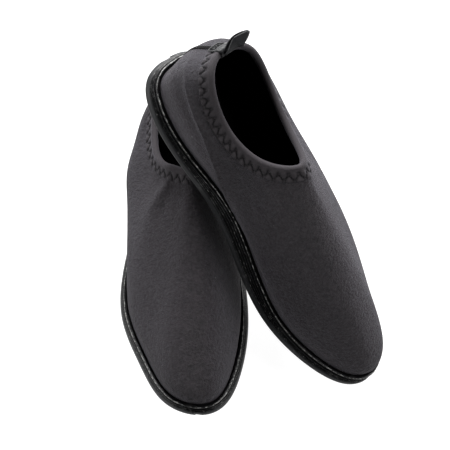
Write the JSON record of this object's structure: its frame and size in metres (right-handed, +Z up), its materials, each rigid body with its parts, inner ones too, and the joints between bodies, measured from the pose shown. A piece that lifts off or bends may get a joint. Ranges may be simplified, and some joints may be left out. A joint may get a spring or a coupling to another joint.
{
  "type": "pair of neoprene water shoes",
  "caption": "Pair of low-cut neoprene slip-on water shoes with bound stretch collar, heel pull tab and ribbed rubber sole band, one shoe leaning on the other.",
  "frame": {"origin": "centre of the pair's bounding box, on the ground", "axes": "+Z up, toes towards -Y, +X to the viewer's right when facing the toes' side from the front; the right shoe is at -X"},
  "size_m": [0.2, 0.281, 0.1906],
  "materials": {
    "neoprene": "matt fine knit facing on foam rubber",
    "binding_cloth": "matt stretch binding",
    "dark_thread": "polyester thread, slight sheen",
    "tab_tape": "satin coated tape",
    "seam_tape": "matt bonded tape",
    "foxing_rubber": "semi-gloss moulded rubber",
    "outsole_rubber": "satin moulded rubber",
    "midsole_foam": "matt foam",
    "board_felt": "matt felt",
    "insole_cloth": "matt knit on foam"
  },
  "bodies": {
    "right_shoe": {"right_outsole": "outsole_rubber", "right_midsole": "midsole_foam", "right_foxing": "foxing_rubber", "right_foxing_stitching": "dark_thread", "right_strobel_board": "board_felt", "right_insole": "insole_cloth", "right_upper": "neoprene", "right_heel_seam_tape": "seam_tape", "right_heel_seam_stitching": "dark_thread", "right_collar_binding": "binding_cloth", "right_collar_stitching": "dark_thread", "right_pull_tab_anchor": "tab_tape", "right_pull_tab_stitching": "dark_thread"},
    "right_tab": {"right_pull_tab": "tab_tape"},
    "left_shoe": {"left_outsole": "outsole_rubber", "left_midsole": "midsole_foam", "left_foxing": "foxing_rubber", "left_foxing_stitching": "dark_thread", "left_strobel_board": "board_felt", "left_insole": "insole_cloth", "left_upper": "neoprene", "left_heel_seam_tape": "seam_tape", "left_heel_seam_stitching": "dark_thread", "left_collar_binding": "binding_cloth", "left_collar_stitching": "dark_thread", "left_pull_tab_anchor": "tab_tape", "left_pull_tab_stitching": "dark_thread"},
    "left_tab": {"left_pull_tab": "tab_tape"}
  },
  "joints": [
    {"name": "left_lift", "type": "slide", "parent": "right_shoe", "child": "left_shoe", "axis": [0, 0, 1], "range_m": [0, 0.15]},
    {"name": "right_tab_fold", "type": "hinge", "parent": "right_shoe", "child": "right_tab", "pos_m": [-0.04375, 0.1255, 0.07524], "axis": [0.9999, -0.0122, 0], "range_deg": [-50, 25], "stiffness_Nm_per_rad": 0.01},
    {"name": "left_tab_fold", "type": "hinge", "parent": "left_shoe", "child": "left_tab", "pos_m": [-0.01592, 0.08367, 0.16887], "axis": [0.6835, 0.6673, -0.2957], "range_deg": [-35, 60], "stiffness_Nm_per_rad": 0.01}
  ]
}
